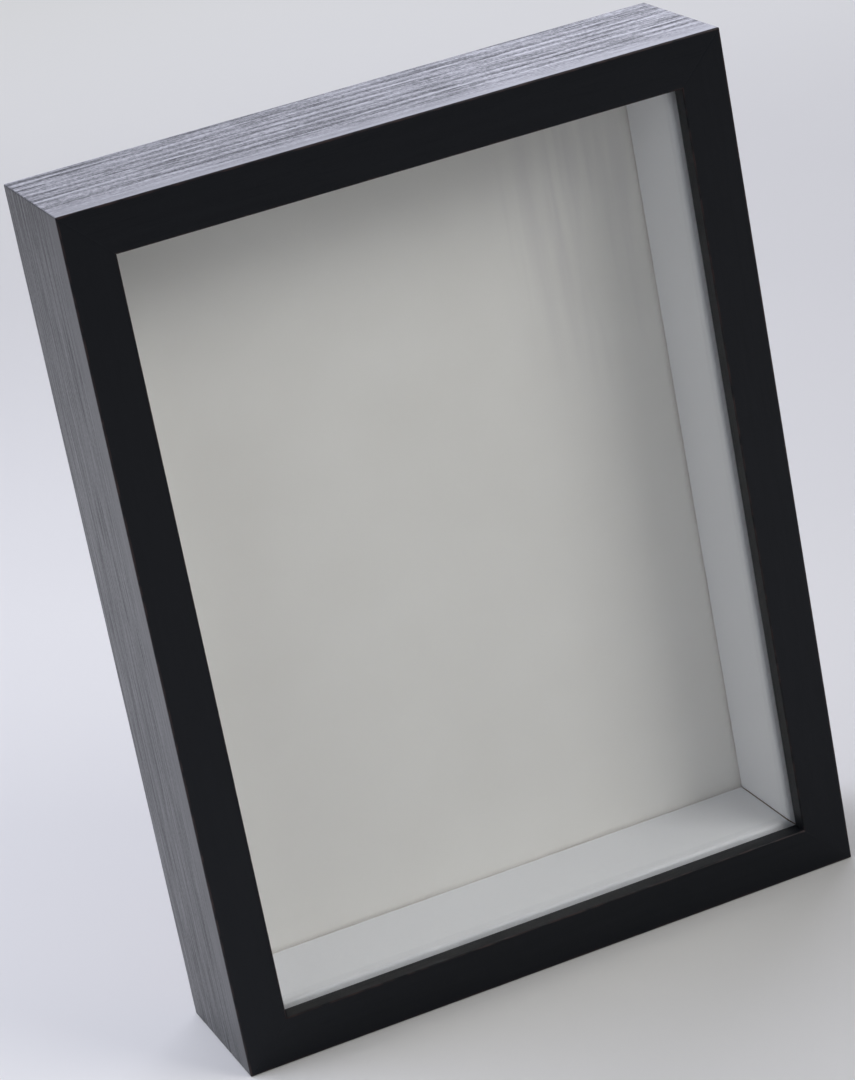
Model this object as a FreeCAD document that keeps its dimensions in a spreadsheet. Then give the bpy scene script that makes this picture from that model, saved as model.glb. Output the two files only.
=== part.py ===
"""Deep wooden shadow box for a 15 x 20 cm display, built as it is assembled.

Four mitred mouldings with an L section make the case. From the rear, into the rabbet behind the lip, go a
glass pane, four mitred spacer strips, a display card and a hardboard back. Flexible steel tabs shot into
the moulding hold the back, V nails hold the mitres, and two D-ring hangers are riveted to the back board,
one for each way up.

Row frame: +X to the right seen from the front, the front faces -Y, +Z up. The origin is the centre of the
underside. Millimetres.
"""

import FreeCAD, Part
import os
import Sketcher

# alias, value in mm (or a plain count), what it is
SIZES = [
    ("frame_width", 163.0, "outside width"),
    ("frame_height", 215.0, "outside height"),
    ("frame_depth", 41.0, "front face to wall side"),
    ("lip_width", 11.75, "visible face of the moulding"),
    ("lip_depth", 4.6, "thickness of the lip in front of the glass"),
    ("wall_thickness", 6.0, "side wall of the moulding"),
    ("front_edge_radius", 0.5, "rounding of the front outer edge"),
    ("rear_edge_radius", 1.0, "rounding of the rear outer edge"),
    ("loading_gap", 0.5, "play between the rabbet and what lies in it, each side"),
    ("glass_thickness", 2.0, "float glass"),
    ("glass_arris", 0.2, "ground edge of the glass"),
    ("spacer_thickness", 6.4, "spacer strip, rabbet side to display side"),
    ("display_depth", 26.2, "glass to display card"),
    ("card_thickness", 1.3, "display card"),
    ("board_thickness", 2.9, "hardboard back"),
    ("notch_radius", 9.0, "finger notch in the lower edge of the back"),
    ("tab_gap", 0.1, "back board to tab"),
    ("tab_thickness", 0.5, "spring steel tab"),
    ("tab_width", 6.0, "tab across"),
    ("tab_reach", 9.5, "tab over the back board"),
    ("tab_bite", 4.5, "point of the tab in the moulding"),
    ("tab_shoulder", 1.5, "where the point of the tab starts"),
    ("tab_corner", 1.0, "clipped corners of the tab"),
    ("short_side_tabs", 2, "tabs in the top and the bottom moulding, each"),
    ("short_side_span", 70.0, "first tab to last tab there"),
    ("long_side_tabs", 2, "tabs in the left and the right moulding, each"),
    ("long_side_span", 110.0, "first tab to last tab there"),
    ("nail_leg", 3.6, "each leg of a V nail"),
    ("nail_thickness", 0.5, "steel strip of a V nail"),
    ("nail_inset", 2.2, "V nail inside the outer faces"),
    ("nail_depth", 12.0, "V nail along the depth of the moulding"),
    ("nail_sink", 0.3, "last V nail below the rear face"),
    ("nail_pitch", 12.4, "V nail to V nail, stacked"),
    ("wire_radius", 0.8, "D ring wire"),
    ("eye_play", 0.08, "wire to eye, radially"),
    ("eye_wall", 0.6, "hanger strap sheet"),
    ("strap_width", 8.0, "hanger strap across"),
    ("strap_thickness", 1.2, "the folded sheet"),
    ("strap_length", 12.0, "eye centre to strap end"),
    ("strap_corner", 3.2, "rounded strap end"),
    ("ring_half_width", 6.7, "D ring centreline, also the radius of its bow"),
    ("ring_corner", 1.6, "bend radius at the ends of the straight side"),
    ("ring_side", 7.5, "straight side to the bow's centre"),
    ("hanger_inset", 19.0, "rabbet wall to eye centre"),
    ("rivet_offset", 7.0, "eye centre to rivet"),
    ("rivet_radius", 1.5, "rivet shank"),
    ("rivet_play", 0.05, "shank to hole, radially"),
    ("rivet_head_radius", 2.8, "rivet head"),
    ("rivet_head_height", 0.9, "rivet head"),
    ("rivet_dome_radius", 0.76, "rounding of the rivet head"),
    ("rivet_flare_radius", 2.5, "clinched end, sunk in the front of the back board"),
    ("rivet_flare_height", 0.5, "clinched end"),
    ("sink_radius", 2.7, "counterbore for the clinched end"),
    ("sink_depth", 0.6, "counterbore for the clinched end"),
]

# Depths behind the front face at which each layer starts, as spreadsheet formulas.
GLASS_AT = "Sizes.lip_depth"
SPACER_AT = GLASS_AT + " + Sizes.glass_thickness"
CARD_AT = SPACER_AT + " + Sizes.display_depth"
BOARD_AT = CARD_AT + " + Sizes.card_thickness"
BOARD_REAR = BOARD_AT + " + Sizes.board_thickness"
TAB_AT = BOARD_REAR + " + Sizes.tab_gap"

EYE_RADIUS = "Sizes.wire_radius + Sizes.eye_play + Sizes.eye_wall"
HALF_HEIGHT = "Sizes.frame_height / 2"

# Mouldings and spacers: name, turn about Y from the top one, length, distance from centre to outer face.
SIDES = [
    ("top", 0, "Sizes.frame_width", "Sizes.frame_height / 2"),
    ("right", 90, "Sizes.frame_height", "Sizes.frame_width / 2"),
    ("bottom", 180, "Sizes.frame_width", "Sizes.frame_height / 2"),
    ("left", 270, "Sizes.frame_height", "Sizes.frame_width / 2"),
]
MOULDING_NAMES = {"top": "top_rail", "right": "right_stile", "bottom": "bottom_rail", "left": "left_stile"}

doc = FreeCAD.newDocument("shadow_box")


# ---- the document's tools -------------------------------------------------------------------------------


def make_sheet():
    """The driving dimensions, one row each: value with its alias, then what it is."""
    sheet = doc.addObject("Spreadsheet::Sheet", "Sizes")
    for row, (alias, value, what) in enumerate(SIZES, start=1):
        sheet.set(f"A{row}", what)
        sheet.set(f"B{row}", str(value))
        sheet.setAlias(f"B{row}", alias)
    doc.recompute()


def new_body(name, turn=0, x=None, y=None, z=HALF_HEIGHT):
    """A body that is one node, turned about Y and moved to where the expressions say."""
    body = doc.addObject("PartDesign::Body", name)
    body.Label = name
    body.Placement = FreeCAD.Placement(FreeCAD.Vector(), FreeCAD.Rotation(FreeCAD.Vector(0, 1, 0), turn))
    for axis, formula in (("x", x), ("y", y), ("z", z)):
        if formula:
            body.setExpression(f"Placement.Base.{axis}", formula)
    return body


def origin_part(body, role):
    """One of the body's own origin planes or axes, found by its role."""
    return next(part for part in body.Origin.OriginFeatures if part.Role == role)


def new_sketch(body, name, plane, offset=None):
    """A sketch on an origin plane of the body, moved along the plane's normal by an expression."""
    sketch = body.newObject("Sketcher::SketchObject", name)
    sketch.AttachmentSupport = [(origin_part(body, plane), "")]
    sketch.MapMode = "FlatFace"
    if offset:
        sketch.setExpression("AttachmentOffset.Base.z", offset)
    return sketch


def sketch_at_depth(body, name, depth):
    """A sketch parallel to the front face, at a depth behind it. The XZ plane's normal is -Y."""
    return new_sketch(body, name, "XZ_Plane", f"Sizes.frame_depth / 2 - ({depth})")


def pin(sketch, geometry, point, x, y):
    """Fixes a sketch point by two expressions; an empty one puts it on that axis of the sketch."""
    for kind, formula, axis in (("DistanceX", x, -2), ("DistanceY", y, -1)):
        if formula:
            index = sketch.addConstraint(Sketcher.Constraint(kind, -1, 1, geometry, point, 1.0))
            sketch.setExpression(f"Constraints[{index}]", formula)
        else:
            sketch.addConstraint(Sketcher.Constraint("PointOnObject", geometry, point, axis))


def add_polygon(sketch, corners):
    """A closed outline through corners, each a pair of expressions in the sketch's own x and y."""
    first = sketch.GeometryCount
    count = len(corners)
    ring = [FreeCAD.Vector(i, i * i, 0) for i in range(count)]
    for i in range(count):
        sketch.addGeometry(Part.LineSegment(ring[i], ring[(i + 1) % count]), False)
    for i in range(count):
        sketch.addConstraint(Sketcher.Constraint("Coincident", first + i, 2, first + (i + 1) % count, 1))
    for i, (x, y) in enumerate(corners):
        pin(sketch, first + i, 1, x, y)


def add_circle(sketch, radius, x="", y=""):
    """A circle whose radius and centre are expressions."""
    circle = sketch.addGeometry(Part.Circle(FreeCAD.Vector(), FreeCAD.Vector(0, 0, 1), 1.0), False)
    index = sketch.addConstraint(Sketcher.Constraint("Radius", circle, 1.0))
    sketch.setExpression(f"Constraints[{index}]", radius)
    pin(sketch, circle, 3, x, y)


def rectangle(half_width, half_height):
    """Corners of a rectangle about the sketch's origin, from two expressions."""
    w, h = f"({half_width})", f"({half_height})"
    return [(f"-{w}", f"-{h}"), (w, f"-{h}"), (w, h), (f"-{w}", h)]


def pad(body, name, sketch, length, rearward=True):
    """Pads a sketch that is parallel to the front face towards the rear, or any sketch both ways."""
    feature = body.newObject("PartDesign::Pad", name)
    feature.Profile = sketch
    feature.setExpression("Length", length)
    feature.Reversed = rearward
    feature.SideType = "One side" if rearward else "Symmetric"
    doc.recompute()
    return feature


def pocket(body, name, sketch, depth=None):
    """Cuts a sketch to a depth from its plane towards the rear, or right through both ways without one."""
    before = body.Shape.Volume
    feature = body.newObject("PartDesign::Pocket", name)
    feature.Profile = sketch
    if depth:
        feature.setExpression("Length", depth)
    else:
        feature.Type = "ThroughAll"
        feature.SideType = "Symmetric"
    doc.recompute()
    if not body.Shape.Volume < before:
        raise RuntimeError(f"{name} cuts nothing")
    return feature


def round_edges(body, name, feature, radius, chosen):
    """Fillets the edges of feature that chosen(edge) picks."""
    names = [f"Edge{i}" for i, edge in enumerate(feature.Shape.Edges, start=1) if chosen(edge)]
    fillet = body.newObject("PartDesign::Fillet", name)
    fillet.Base = (feature, names)
    fillet.setExpression("Radius", radius)
    doc.recompute()
    return fillet


def size_of(alias):
    """A value as the sheet holds it."""
    return float(doc.getObject("Sizes").get(alias))


def runs_along(edge, axis, at):
    """True for a straight edge along axis (0, 1, 2) whose other coordinates are those in at, where given."""
    if not isinstance(edge.Curve, Part.Line) or abs(edge.tangentAt(edge.FirstParameter)[axis]) < 0.999:
        return False
    middle = edge.CenterOfMass
    return all(value is None or abs(middle[i] - value) < 1e-6 for i, value in enumerate(at))


# ---- the case -------------------------------------------------------------------------------------------


def mitred(length, outer, thickness):
    """Trapezoid of a strip mitred at 45 degrees: its full length is on the side at outer from the centre."""
    inner_half = f"({length}) / 2 - ({thickness})"
    inner = f"({outer}) - ({thickness})"
    return [
        (f"-({length}) / 2", outer),
        (f"({length}) / 2", outer),
        (inner_half, inner),
        (f"-({inner_half})", inner),
    ]


def make_moulding(side, turn, length, outer):
    """One side of the case: a wall the full depth, with a lip at the front, mitred at both ends."""
    body = new_body(MOULDING_NAMES[side], turn)
    wall = sketch_at_depth(body, f"{side}_wall_outline", "0")
    add_polygon(wall, mitred(length, outer, "Sizes.wall_thickness"))
    pad(body, f"{side}_wall", wall, "Sizes.frame_depth")
    lip = sketch_at_depth(body, f"{side}_lip_outline", "0")
    add_polygon(lip, mitred(length, outer, "Sizes.lip_width"))
    section = pad(body, f"{side}_lip", lip, "Sizes.lip_depth")
    face = size_of("frame_height" if side in ("top", "bottom") else "frame_width") / 2
    front, rear = -size_of("frame_depth") / 2, size_of("frame_depth") / 2
    front_round = round_edges(
        body,
        f"{side}_front_round",
        section,
        "Sizes.front_edge_radius",
        lambda edge: runs_along(edge, 0, (None, front, face)),
    )
    round_edges(
        body,
        f"{side}_rear_round",
        front_round,
        "Sizes.rear_edge_radius",
        lambda edge: runs_along(edge, 0, (None, rear, face)),
    )
    return body


def make_v_nails():
    """Two L-shaped nails stacked in each mitre, driven in from the rear."""
    body = new_body("corner_v_nails")
    sketch = sketch_at_depth(
        body, "nail_outline", "Sizes.frame_depth - Sizes.nail_sink - Sizes.nail_pitch - Sizes.nail_depth"
    )
    x, z = "Sizes.frame_width / 2 - Sizes.nail_inset", f"{HALF_HEIGHT} - Sizes.nail_inset"
    leg, sheet = " - Sizes.nail_leg", " - Sizes.nail_thickness"
    outline = [("", ""), (leg, ""), (leg, sheet), (sheet, sheet), (sheet, leg), ("", leg)]
    add_polygon(sketch, [(x + inward, z + down) for inward, down in outline])
    nail = pad(body, "nail", sketch, "Sizes.nail_depth")
    spread = body.newObject("PartDesign::MultiTransform", "nails_in_every_corner")
    spread.Originals = [nail]
    sideways = body.newObject("PartDesign::Mirrored", "nails_left_and_right")
    sideways.MirrorPlane = (origin_part(body, "YZ_Plane"), [""])
    upright = body.newObject("PartDesign::Mirrored", "nails_above_and_below")
    upright.MirrorPlane = (origin_part(body, "XY_Plane"), [""])
    stack = body.newObject("PartDesign::LinearPattern", "nails_stacked")
    stack.Direction = (origin_part(body, "Y_Axis"), [""])
    stack.Occurrences = 2
    stack.setExpression("Length", "Sizes.nail_pitch")
    spread.Transformations = [sideways, upright, stack]
    body.Tip = spread
    doc.recompute()
    return body


# ---- what lies in the rabbet ----------------------------------------------------------------------------

LOADED_HALF_WIDTH = "Sizes.frame_width / 2 - Sizes.wall_thickness - Sizes.loading_gap"
LOADED_HALF_HEIGHT = "Sizes.frame_height / 2 - Sizes.wall_thickness - Sizes.loading_gap"


def make_sheet_part(name, depth, thickness):
    """A rectangular sheet that fills the rabbet less the loading gap."""
    body = new_body(name)
    sketch = sketch_at_depth(body, f"{name}_outline", depth)
    add_polygon(sketch, rectangle(LOADED_HALF_WIDTH, LOADED_HALF_HEIGHT))
    return body, pad(body, f"{name}_sheet", sketch, thickness)


def make_glass():
    """The pane, with its front and rear edges ground."""
    body, sheet = make_sheet_part("glass_pane", GLASS_AT, "Sizes.glass_thickness")
    ground = body.newObject("PartDesign::Chamfer", "ground_edges")
    anywhere = (None, None, None)
    edges = enumerate(sheet.Shape.Edges, start=1)
    around_faces = [f"Edge{i}" for i, edge in edges if not runs_along(edge, 1, anywhere)]
    ground.Base = (sheet, around_faces)
    ground.setExpression("Size", "Sizes.glass_arris")
    doc.recompute()
    return body


def make_spacer(side, turn, length, outer):
    """One spacer strip, mitred at both ends."""
    body = new_body(f"spacer_{side}", turn)
    sketch = sketch_at_depth(body, f"spacer_{side}_outline", SPACER_AT)
    inset = "(Sizes.wall_thickness + Sizes.loading_gap)"
    corners = mitred(f"{length} - 2 * {inset}", f"{outer} - {inset}", "Sizes.spacer_thickness")
    add_polygon(sketch, corners)
    pad(body, f"spacer_{side}_strip", sketch, "Sizes.display_depth")
    return body


# Each hanger: name, turn about Y, eye centre and rivet from the centre of the frame, as (x, z) expressions.
REACH = "(Sizes.wall_thickness + Sizes.hanger_inset)"
HANGERS = [
    ("upright", 0, ("", f"{HALF_HEIGHT} - {REACH}"), ("", f"{HALF_HEIGHT} - {REACH} - Sizes.rivet_offset")),
    (
        "sideways",
        90,
        (f"Sizes.frame_width / 2 - {REACH}", ""),
        (f"Sizes.frame_width / 2 - {REACH} - Sizes.rivet_offset", ""),
    ),
]


def make_back_board():
    """The hardboard back: a finger notch in its lower edge and a counterbored hole for each rivet."""
    body, sheet = make_sheet_part("back_board", BOARD_AT, "Sizes.board_thickness")
    notch = sketch_at_depth(body, "notch_outline", BOARD_AT)
    add_circle(notch, "Sizes.notch_radius", "", f"-({LOADED_HALF_HEIGHT})")
    pocket(body, "finger_notch", notch)
    holes = sketch_at_depth(body, "rivet_centres", BOARD_AT)
    for _, _, _, (x, z) in HANGERS:
        add_circle(holes, "Sizes.rivet_radius + Sizes.rivet_play", x, z)
    pocket(body, "rivet_holes", holes)
    sinks = sketch_at_depth(body, "rivet_sinks", BOARD_AT)
    for _, _, _, (x, z) in HANGERS:
        add_circle(sinks, "Sizes.sink_radius", x, z)
    pocket(body, "rivet_counterbores", sinks, "Sizes.sink_depth")
    return body


def make_tabs(side, turn, outer):
    """The row of tabs in one moulding: pointed ends in the wood, clipped corners over the back board."""
    body = new_body(f"retaining_tabs_{side}", turn)
    sketch = sketch_at_depth(body, f"{side}_tab_outline", TAB_AT)
    short = side in ("top", "bottom")
    span = "Sizes.short_side_span" if short else "Sizes.long_side_span"
    count = "Sizes.short_side_tabs" if short else "Sizes.long_side_tabs"
    centre, half = f"-({span}) / 2", "Sizes.tab_width / 2"
    wood = f"{outer} - Sizes.wall_thickness"
    outline = [
        (centre, f"{wood} + Sizes.tab_bite"),
        (f"{centre} + {half}", f"{wood} + Sizes.tab_shoulder"),
        (f"{centre} + {half}", f"{wood} - Sizes.tab_reach + Sizes.tab_corner"),
        (f"{centre} + {half} - Sizes.tab_corner", f"{wood} - Sizes.tab_reach"),
        (f"{centre} - {half} + Sizes.tab_corner", f"{wood} - Sizes.tab_reach"),
        (f"{centre} - {half}", f"{wood} - Sizes.tab_reach + Sizes.tab_corner"),
        (f"{centre} - {half}", f"{wood} + Sizes.tab_shoulder"),
    ]
    add_polygon(sketch, outline)
    tab = pad(body, f"{side}_tab", sketch, "Sizes.tab_thickness")
    row = body.newObject("PartDesign::LinearPattern", f"{side}_tab_row")
    row.Originals = [tab]
    row.Direction = (origin_part(body, "X_Axis"), [""])
    row.setExpression("Length", span)
    row.setExpression("Occurrences", count)
    body.Tip = row
    doc.recompute()
    return body


# ---- hangers --------------------------------------------------------------------------------------------


def hanger_body(name, turn, place, height):
    """A body whose own origin is moved to place, at a height above the rear of the back board."""
    x, z = place
    y = f"{BOARD_REAR} - Sizes.frame_depth / 2 + {height}"
    return new_body(name, turn, x or None, y, f"{HALF_HEIGHT} + {z}" if z else HALF_HEIGHT)


def make_strap(name, turn, place):
    """Sheet folded round the D ring's straight side, lying on the back board. Its origin is the eye."""
    body = hanger_body(f"{name}_hanger_strap", turn, place, EYE_RADIUS)
    eye = new_sketch(body, f"{name}_eye_outline", "YZ_Plane")
    add_circle(eye, EYE_RADIUS)
    pad(body, f"{name}_eye", eye, "Sizes.strap_width", rearward=False)
    plate = new_sketch(body, f"{name}_plate_outline", "XZ_Plane", EYE_RADIUS)
    half = "Sizes.strap_width / 2"
    foot = "-Sizes.strap_length"
    add_polygon(plate, [(f"-{half}", foot), (half, foot), (half, ""), (f"-{half}", "")])
    plate_pad = pad(body, f"{name}_plate", plate, "Sizes.strap_thickness")
    end = -size_of("strap_length")
    round_edges(
        body,
        f"{name}_plate_end",
        plate_pad,
        "Sizes.strap_corner",
        lambda edge: runs_along(edge, 1, (None, None, end)),
    )
    bore = new_sketch(body, f"{name}_bore_outline", "YZ_Plane")
    add_circle(bore, "Sizes.wire_radius + Sizes.eye_play")
    pocket(body, f"{name}_bore", bore)
    hole = new_sketch(body, f"{name}_rivet_hole_outline", "XZ_Plane")
    add_circle(hole, "Sizes.rivet_radius + Sizes.rivet_play", "", "-Sizes.rivet_offset")
    pocket(body, f"{name}_rivet_hole", hole)
    return body


def make_ring(name, turn, place):
    """Round wire bent to a D that hangs from its straight side. Its origin is the middle of that side."""
    body = hanger_body(f"{name}_d_ring", turn, place, EYE_RADIUS)
    spine = new_sketch(body, f"{name}_ring_centreline", "XZ_Plane")
    half, corner, drop = size_of("ring_half_width"), size_of("ring_corner"), size_of("ring_side")
    vector = FreeCAD.Vector

    def bend(centre_x, centre_z, radius, start, end):
        """An arc of the sketch, counter-clockwise between two angles in quarter turns."""
        quarter = 1.5707963267948966
        circle = Part.Circle(vector(centre_x, centre_z, 0), vector(0, 0, 1), radius)
        return Part.ArcOfCircle(circle, start * quarter, end * quarter)

    pieces = [
        Part.LineSegment(vector(0, 0, 0), vector(half - corner, 0, 0)),
        bend(half - corner, -corner, corner, 0, 1),
        Part.LineSegment(vector(half, -corner, 0), vector(half, -drop, 0)),
        bend(0, -drop, half, 2, 4),
        Part.LineSegment(vector(-half, -drop, 0), vector(-half, -corner, 0)),
        bend(corner - half, -corner, corner, 1, 2),
        Part.LineSegment(vector(corner - half, 0, 0), vector(0, 0, 0)),
    ]
    for piece in pieces:
        spine.addGeometry(piece, False)
    # Lines and bends alternate, clockwise round the ring. A line is entered at its start (1) and left at its
    # end (2); a bend is drawn counter-clockwise, so it is entered at its end and left at its start.
    joints = [(0, 2, 1, 2), (1, 1, 2, 1), (2, 2, 3, 2), (3, 1, 4, 1), (4, 2, 5, 2), (5, 1, 6, 1)]
    for piece, its_point, following, its_start in joints:
        spine.addConstraint(Sketcher.Constraint("Tangent", piece, its_point, following, its_start))
    spine.addConstraint(Sketcher.Constraint("Coincident", 6, 2, 0, 1))
    spine.addConstraint(Sketcher.Constraint("Coincident", 0, 1, -1, 1))
    for line in (0, 6):
        spine.addConstraint(Sketcher.Constraint("Horizontal", line))
    spine.addConstraint(Sketcher.Constraint("Vertical", 2))
    spine.addConstraint(Sketcher.Constraint("Equal", 1, 5))
    corner_index = spine.addConstraint(Sketcher.Constraint("Radius", 1, corner))
    spine.setExpression(f"Constraints[{corner_index}]", "Sizes.ring_corner")
    bow_index = spine.addConstraint(Sketcher.Constraint("Radius", 3, half))
    spine.setExpression(f"Constraints[{bow_index}]", "Sizes.ring_half_width")
    pin(spine, 3, 3, "", "-Sizes.ring_side")
    doc.recompute()
    section = new_sketch(body, f"{name}_ring_section", "YZ_Plane")
    add_circle(section, "Sizes.wire_radius")
    pipe = body.newObject("PartDesign::AdditivePipe", f"{name}_ring_wire")
    pipe.Profile = section
    pipe.Spine = spine
    doc.recompute()
    return body


def make_rivet(name, turn, place):
    """Turned about its own axis: domed head on the strap, shank through the board, clinched end in front."""
    body = hanger_body(f"{name}_hanger_rivet", turn, place, "0")
    profile = new_sketch(body, f"{name}_rivet_profile", "XY_Plane")
    seat = "Sizes.strap_thickness"
    crown = "Sizes.strap_thickness + Sizes.rivet_head_height"
    front = "-Sizes.board_thickness + Sizes.sink_depth - Sizes.rivet_flare_height"
    clinch = "-Sizes.board_thickness + Sizes.sink_depth"
    outline = [
        ("", front),
        ("Sizes.rivet_flare_radius", front),
        ("Sizes.rivet_flare_radius", clinch),
        ("Sizes.rivet_radius", clinch),
        ("Sizes.rivet_radius", seat),
        ("Sizes.rivet_head_radius", seat),
        ("Sizes.rivet_head_radius", crown),
        ("", crown),
    ]
    add_polygon(profile, outline)
    turned = body.newObject("PartDesign::Revolution", f"{name}_rivet_turned")
    turned.Profile = profile
    turned.ReferenceAxis = (origin_part(body, "Y_Axis"), [""])
    turned.Angle = 360
    doc.recompute()
    top = size_of("strap_thickness") + size_of("rivet_head_height")
    round_edges(
        body,
        f"{name}_rivet_dome",
        turned,
        "Sizes.rivet_dome_radius",
        lambda edge: isinstance(edge.Curve, Part.Circle) and abs(edge.Curve.Center.y - top) < 1e-6,
    )
    return body


# ---- build, check, write --------------------------------------------------------------------------------


def build():
    """Every node of the shadow box, front to rear."""
    make_sheet()
    nodes = [make_moulding(*side) for side in SIDES]
    nodes.append(make_v_nails())
    nodes.append(make_glass())
    nodes += [make_spacer(*side) for side in SIDES]
    nodes.append(make_sheet_part("display_card", CARD_AT, "Sizes.card_thickness")[0])
    nodes.append(make_back_board())
    nodes += [make_tabs(side, turn, outer) for side, turn, _, outer in SIDES]
    for name, turn, eye, rivet in HANGERS:
        nodes.append(make_strap(name, turn, eye))
        nodes.append(make_rivet(name, turn, rivet))
        nodes.append(make_ring(name, turn, eye))
    doc.recompute()
    return nodes


def write(nodes):
    """Stops on a failed feature or a bad shape, and otherwise writes one STEP file per node."""
    failed = [o.Label for o in doc.Objects if "Invalid" in o.State or "Error" in o.State]
    if failed:
        raise RuntimeError(f"features that failed: {failed}")
    for node in nodes:
        if node.Shape.isNull() or not node.Shape.isValid() or not node.Shape.Solids:
            raise RuntimeError(f"{node.Label} is not a valid solid")
    os.makedirs("parts", exist_ok=True)
    for node in nodes:
        node.Shape.exportStep(f"parts/{node.Label}.step")
        box = node.Shape.BoundBox
        print(
            f"{node.Label:26s} solids {len(node.Shape.Solids):2d}  volume {node.Shape.Volume:10.2f} mm3"
            f"  x {box.XMin:7.2f}..{box.XMax:7.2f}  y {box.YMin:7.2f}..{box.YMax:7.2f}"
            f"  z {box.ZMin:7.2f}..{box.ZMax:7.2f}"
        )


write(build())
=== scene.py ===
import math

import bpy
import numpy as np
from mathutils import Matrix, Vector


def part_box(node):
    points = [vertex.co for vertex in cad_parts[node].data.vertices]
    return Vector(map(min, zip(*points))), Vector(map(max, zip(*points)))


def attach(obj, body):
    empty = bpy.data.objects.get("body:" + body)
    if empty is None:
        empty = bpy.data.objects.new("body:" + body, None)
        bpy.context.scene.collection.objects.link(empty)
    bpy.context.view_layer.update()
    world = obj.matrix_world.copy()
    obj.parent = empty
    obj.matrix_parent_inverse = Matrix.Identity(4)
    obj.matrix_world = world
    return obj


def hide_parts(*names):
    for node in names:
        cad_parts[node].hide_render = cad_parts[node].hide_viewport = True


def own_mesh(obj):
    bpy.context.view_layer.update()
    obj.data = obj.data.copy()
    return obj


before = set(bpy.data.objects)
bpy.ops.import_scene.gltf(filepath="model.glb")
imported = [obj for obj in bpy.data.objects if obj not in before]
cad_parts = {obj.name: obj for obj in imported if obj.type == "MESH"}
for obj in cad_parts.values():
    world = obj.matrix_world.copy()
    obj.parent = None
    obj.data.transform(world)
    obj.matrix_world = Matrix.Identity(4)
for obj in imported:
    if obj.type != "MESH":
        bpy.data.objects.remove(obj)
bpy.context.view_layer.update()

# ---- Camera ---------------------------------------------------------------------------------------------
# The box is looked at from above its front left, from a little under a metre, with the camera turned about
# its own line of sight, so that the case leans to the left in the picture.

eye = Vector((-0.27437, -0.79670, 0.42765))
aim = Vector((-0.01214, -0.02050, 0.11662))
lean = math.radians(11.183)
lens = 126.2

camera_data = bpy.data.cameras.new("camera")
camera_data.lens = lens
camera_data.clip_start = 0.01
camera = bpy.data.objects.new("camera", camera_data)
upright = (aim - eye).to_track_quat("-Z", "Y").to_matrix().to_4x4()
camera.matrix_world = Matrix.Translation(eye) @ upright @ Matrix.Rotation(-lean, 4, "Z")
bpy.context.scene.collection.objects.link(camera)
bpy.context.scene.camera = camera
bpy.context.scene.view_settings.view_transform = "Standard"


# ---- Studio ---------------------------------------------------------------------------------------------
# A pale sweep under the box, a large cool panel behind it that brightens the top and throws its shadow
# forwards, a pool of light on the floor behind its left side, a softbox at the upper right in front that
# lights the inside, and weak fills.

half_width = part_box("right_stile")[1].x
half_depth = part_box("top_rail")[1].y
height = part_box("top_rail")[1].z
middle = height / 2
reach = 6.0
fade_start, fade_end = 0.4, 1.5
backdrop_colour, backdrop_strength = (0.80, 0.81, 0.83, 1), 0.8


def new_mesh_object(name, points, faces):
    """An object of the given points, an array of n by 3, and faces."""
    mesh = bpy.data.meshes.new(name)
    mesh.from_pydata(points, [], faces)
    mesh.update()
    piece = bpy.data.objects.new(name, mesh)
    bpy.context.scene.collection.objects.link(piece)
    return piece


def area_light(name, place, towards, size, power, colour):
    """A rectangular area light at place, facing towards, of size (width, height) in metres."""
    lamp = bpy.data.lights.new(name, "AREA")
    lamp.shape = "RECTANGLE"
    lamp.size, lamp.size_y = size
    lamp.energy = power
    lamp.color = colour
    light = bpy.data.objects.new(name, lamp)
    light.location = place
    light.rotation_euler = (Vector(towards) - Vector(place)).to_track_quat("-Z", "Y").to_euler()
    bpy.context.scene.collection.objects.link(light)
    return light


def new_material(name):
    """A material with nodes: itself, its nodes, its links and its Principled BSDF."""
    material = bpy.data.materials.new(name)
    material.use_nodes = True
    tree = material.node_tree
    return material, tree.nodes, tree.links, tree.nodes["Principled BSDF"]


def ramp(nodes, links, value, *stops):
    """A colour ramp over value between two stops, each (position, (r, g, b))."""
    node = nodes.new("ShaderNodeValToRGB")
    elements = node.color_ramp.elements
    for element, (position, colour) in zip(elements, stops):
        element.position = position
        element.color = (*colour, 1)
    links.new(value, node.inputs["Fac"])
    return node.outputs["Color"]


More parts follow.
